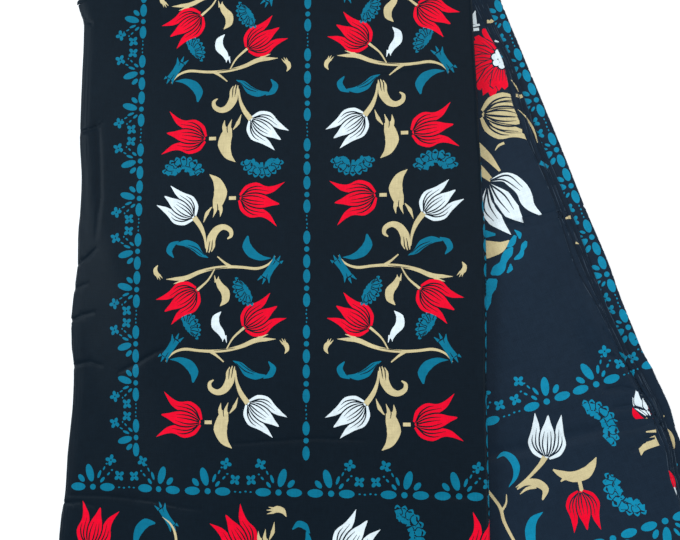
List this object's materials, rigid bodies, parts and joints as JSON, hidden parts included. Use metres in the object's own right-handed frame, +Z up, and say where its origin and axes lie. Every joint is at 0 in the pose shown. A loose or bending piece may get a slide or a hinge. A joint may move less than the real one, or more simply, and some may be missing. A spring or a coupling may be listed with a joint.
{
  "type": "folded wax print cotton cloth",
  "caption": "Printed cotton cloth folded into a flat band, folded over at the top so two legs lie fanned, the front one on the back one.",
  "frame": {"origin": "middle of the folded cloth's footprint, on the surface it lies on", "axes": "+Z up, +Y towards the top fold, +X to the side the back leg fans out to"},
  "size_m": [0.596, 0.7414, 0.0197],
  "materials": {
    "printed_cotton": "smooth printed cotton, slightly waxy"
  },
  "bodies": {
    "root": {"front_top_sheet": "printed_cotton", "front_inner_layers": "printed_cotton", "back_lowest_sheet": "printed_cotton", "back_layer_6": "printed_cotton", "back_layer_5": "printed_cotton", "back_layer_4": "printed_cotton", "back_layer_3": "printed_cotton", "back_layer_2": "printed_cotton", "back_top_sheet": "printed_cotton", "top_fold_turn": "printed_cotton", "top_fold_layers": "printed_cotton"}
  },
  "joints": []
}
